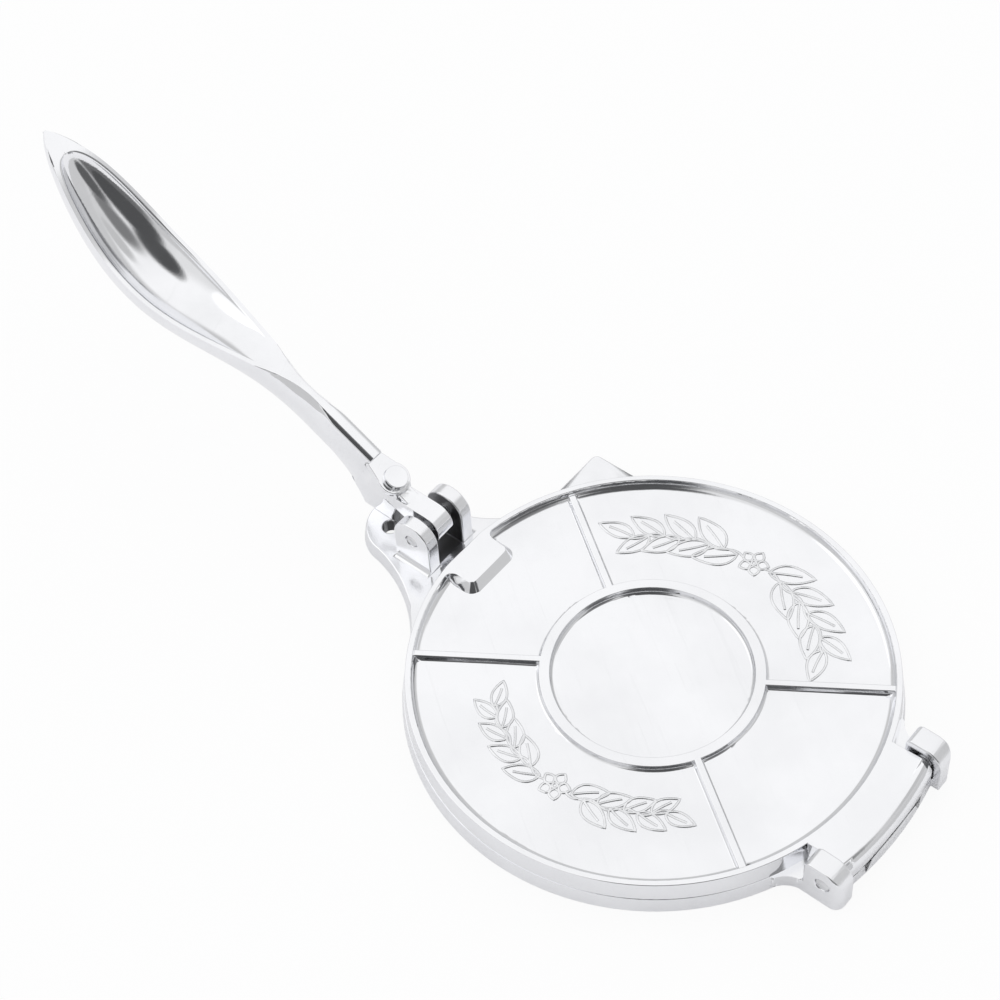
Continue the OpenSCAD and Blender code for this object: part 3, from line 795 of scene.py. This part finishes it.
def makeWorld():
    # white for the camera; metal sees one great softbox, a greyer front side and a few dark gaps
    world = bpy.data.worlds.new("softTent")
    scene.world = world
    world.use_nodes = True
    tree = world.node_tree
    back = tree.nodes["Background"]
    outward = tree.nodes.new("ShaderNodeTexCoord").outputs["Generated"]
    split = tree.nodes.new("ShaderNodeSeparateXYZ")
    tree.links.new(outward, split.inputs[0])
    height = split.outputs["Z"]

    def fade(value, start, end, first=0.0, last=1.0):
        return rangeNode(tree, value, start, end, first, last, "SMOOTHSTEP")

    def along(direction):
        return vectorNode(tree, "DOT_PRODUCT", outward, direction)

    front = fade(along(tent["softbox"]), tent["softboxFrom"], tent["softboxTo"],
                 tent["frontShade"], 0.0)
    horizon = fade(height, tent["horizonFrom"], tent["horizonTo"], tent["horizonShade"], 0.0)
    dark = mathNode(tree, "MAXIMUM", front, horizon)
    for toward, reach, (low, high), depth in tent["gaps"]:
        above = fade(height, low - tent["gapFootFade"], low)
        below = fade(height, high, high + tent["gapHeadFade"], depth, 0.0)
        gap = mathNode(tree, "MULTIPLY", above, below)
        gap = mathNode(tree, "MULTIPLY", fade(along(toward), *reach), gap)
        dark = mathNode(tree, "MAXIMUM", dark, gap)
    path = tree.nodes.new("ShaderNodeLightPath")
    seen = mathNode(tree, "MULTIPLY", dark, path.outputs["Is Glossy Ray"])
    feed(tree, back, Color=mixNode(tree, "RGBA", seen, tent["whiteColor"], tent["gapColor"]),
         Strength=1.0)


lampValues = {"place": (-1.8, -0.8, 1.2), "aim": (0.0, 0.0, 0.0), "size": 2.0, "power": 2.5}


def makeLamp():
    data = bpy.data.lights.new("mainLamp", "AREA")
    data.shape = "DISK"
    data.size = lampValues["size"]
    data.energy = lampValues["power"]
    lamp = bpy.data.objects.new("mainLamp", data)
    scene.collection.objects.link(lamp)
    place, aim = Vector(lampValues["place"]), Vector(lampValues["aim"])
    lamp.location = place
    lamp.rotation_euler = (aim - place).to_track_quat("-Z", "Y").to_euler()


cameraValues = {
    "place": (0.33828, -0.45155, 0.82936),
    "right": (0.77330682, 0.63227599, -0.0471554),
    "down": (0.47059721, -0.62222278, -0.62560138),
    "ahead": (-0.42489389, 0.46159061, -0.77871643),
    "sensor": 36.0,
    "lens": 86.757,
    "clip": (0.02, 50.0),
}


def makeCamera():
    data = bpy.data.cameras.new("camera")
    camera = bpy.data.objects.new("camera", data)
    scene.collection.objects.link(camera)
    right, down, ahead = (Vector(cameraValues[way]) for way in ("right", "down", "ahead"))
    turn = Matrix((right, -down, -ahead)).transposed().to_4x4()
    camera.matrix_world = Matrix.Translation(cameraValues["place"]) @ turn
    data.sensor_width = cameraValues["sensor"]
    data.lens = cameraValues["lens"]
    data.clip_start, data.clip_end = cameraValues["clip"]
    scene.camera = camera


makeFloor()
makeWorld()
makeLamp()
makeCamera()
scene.view_settings.view_transform = "Standard"
print("floor, light and camera set")
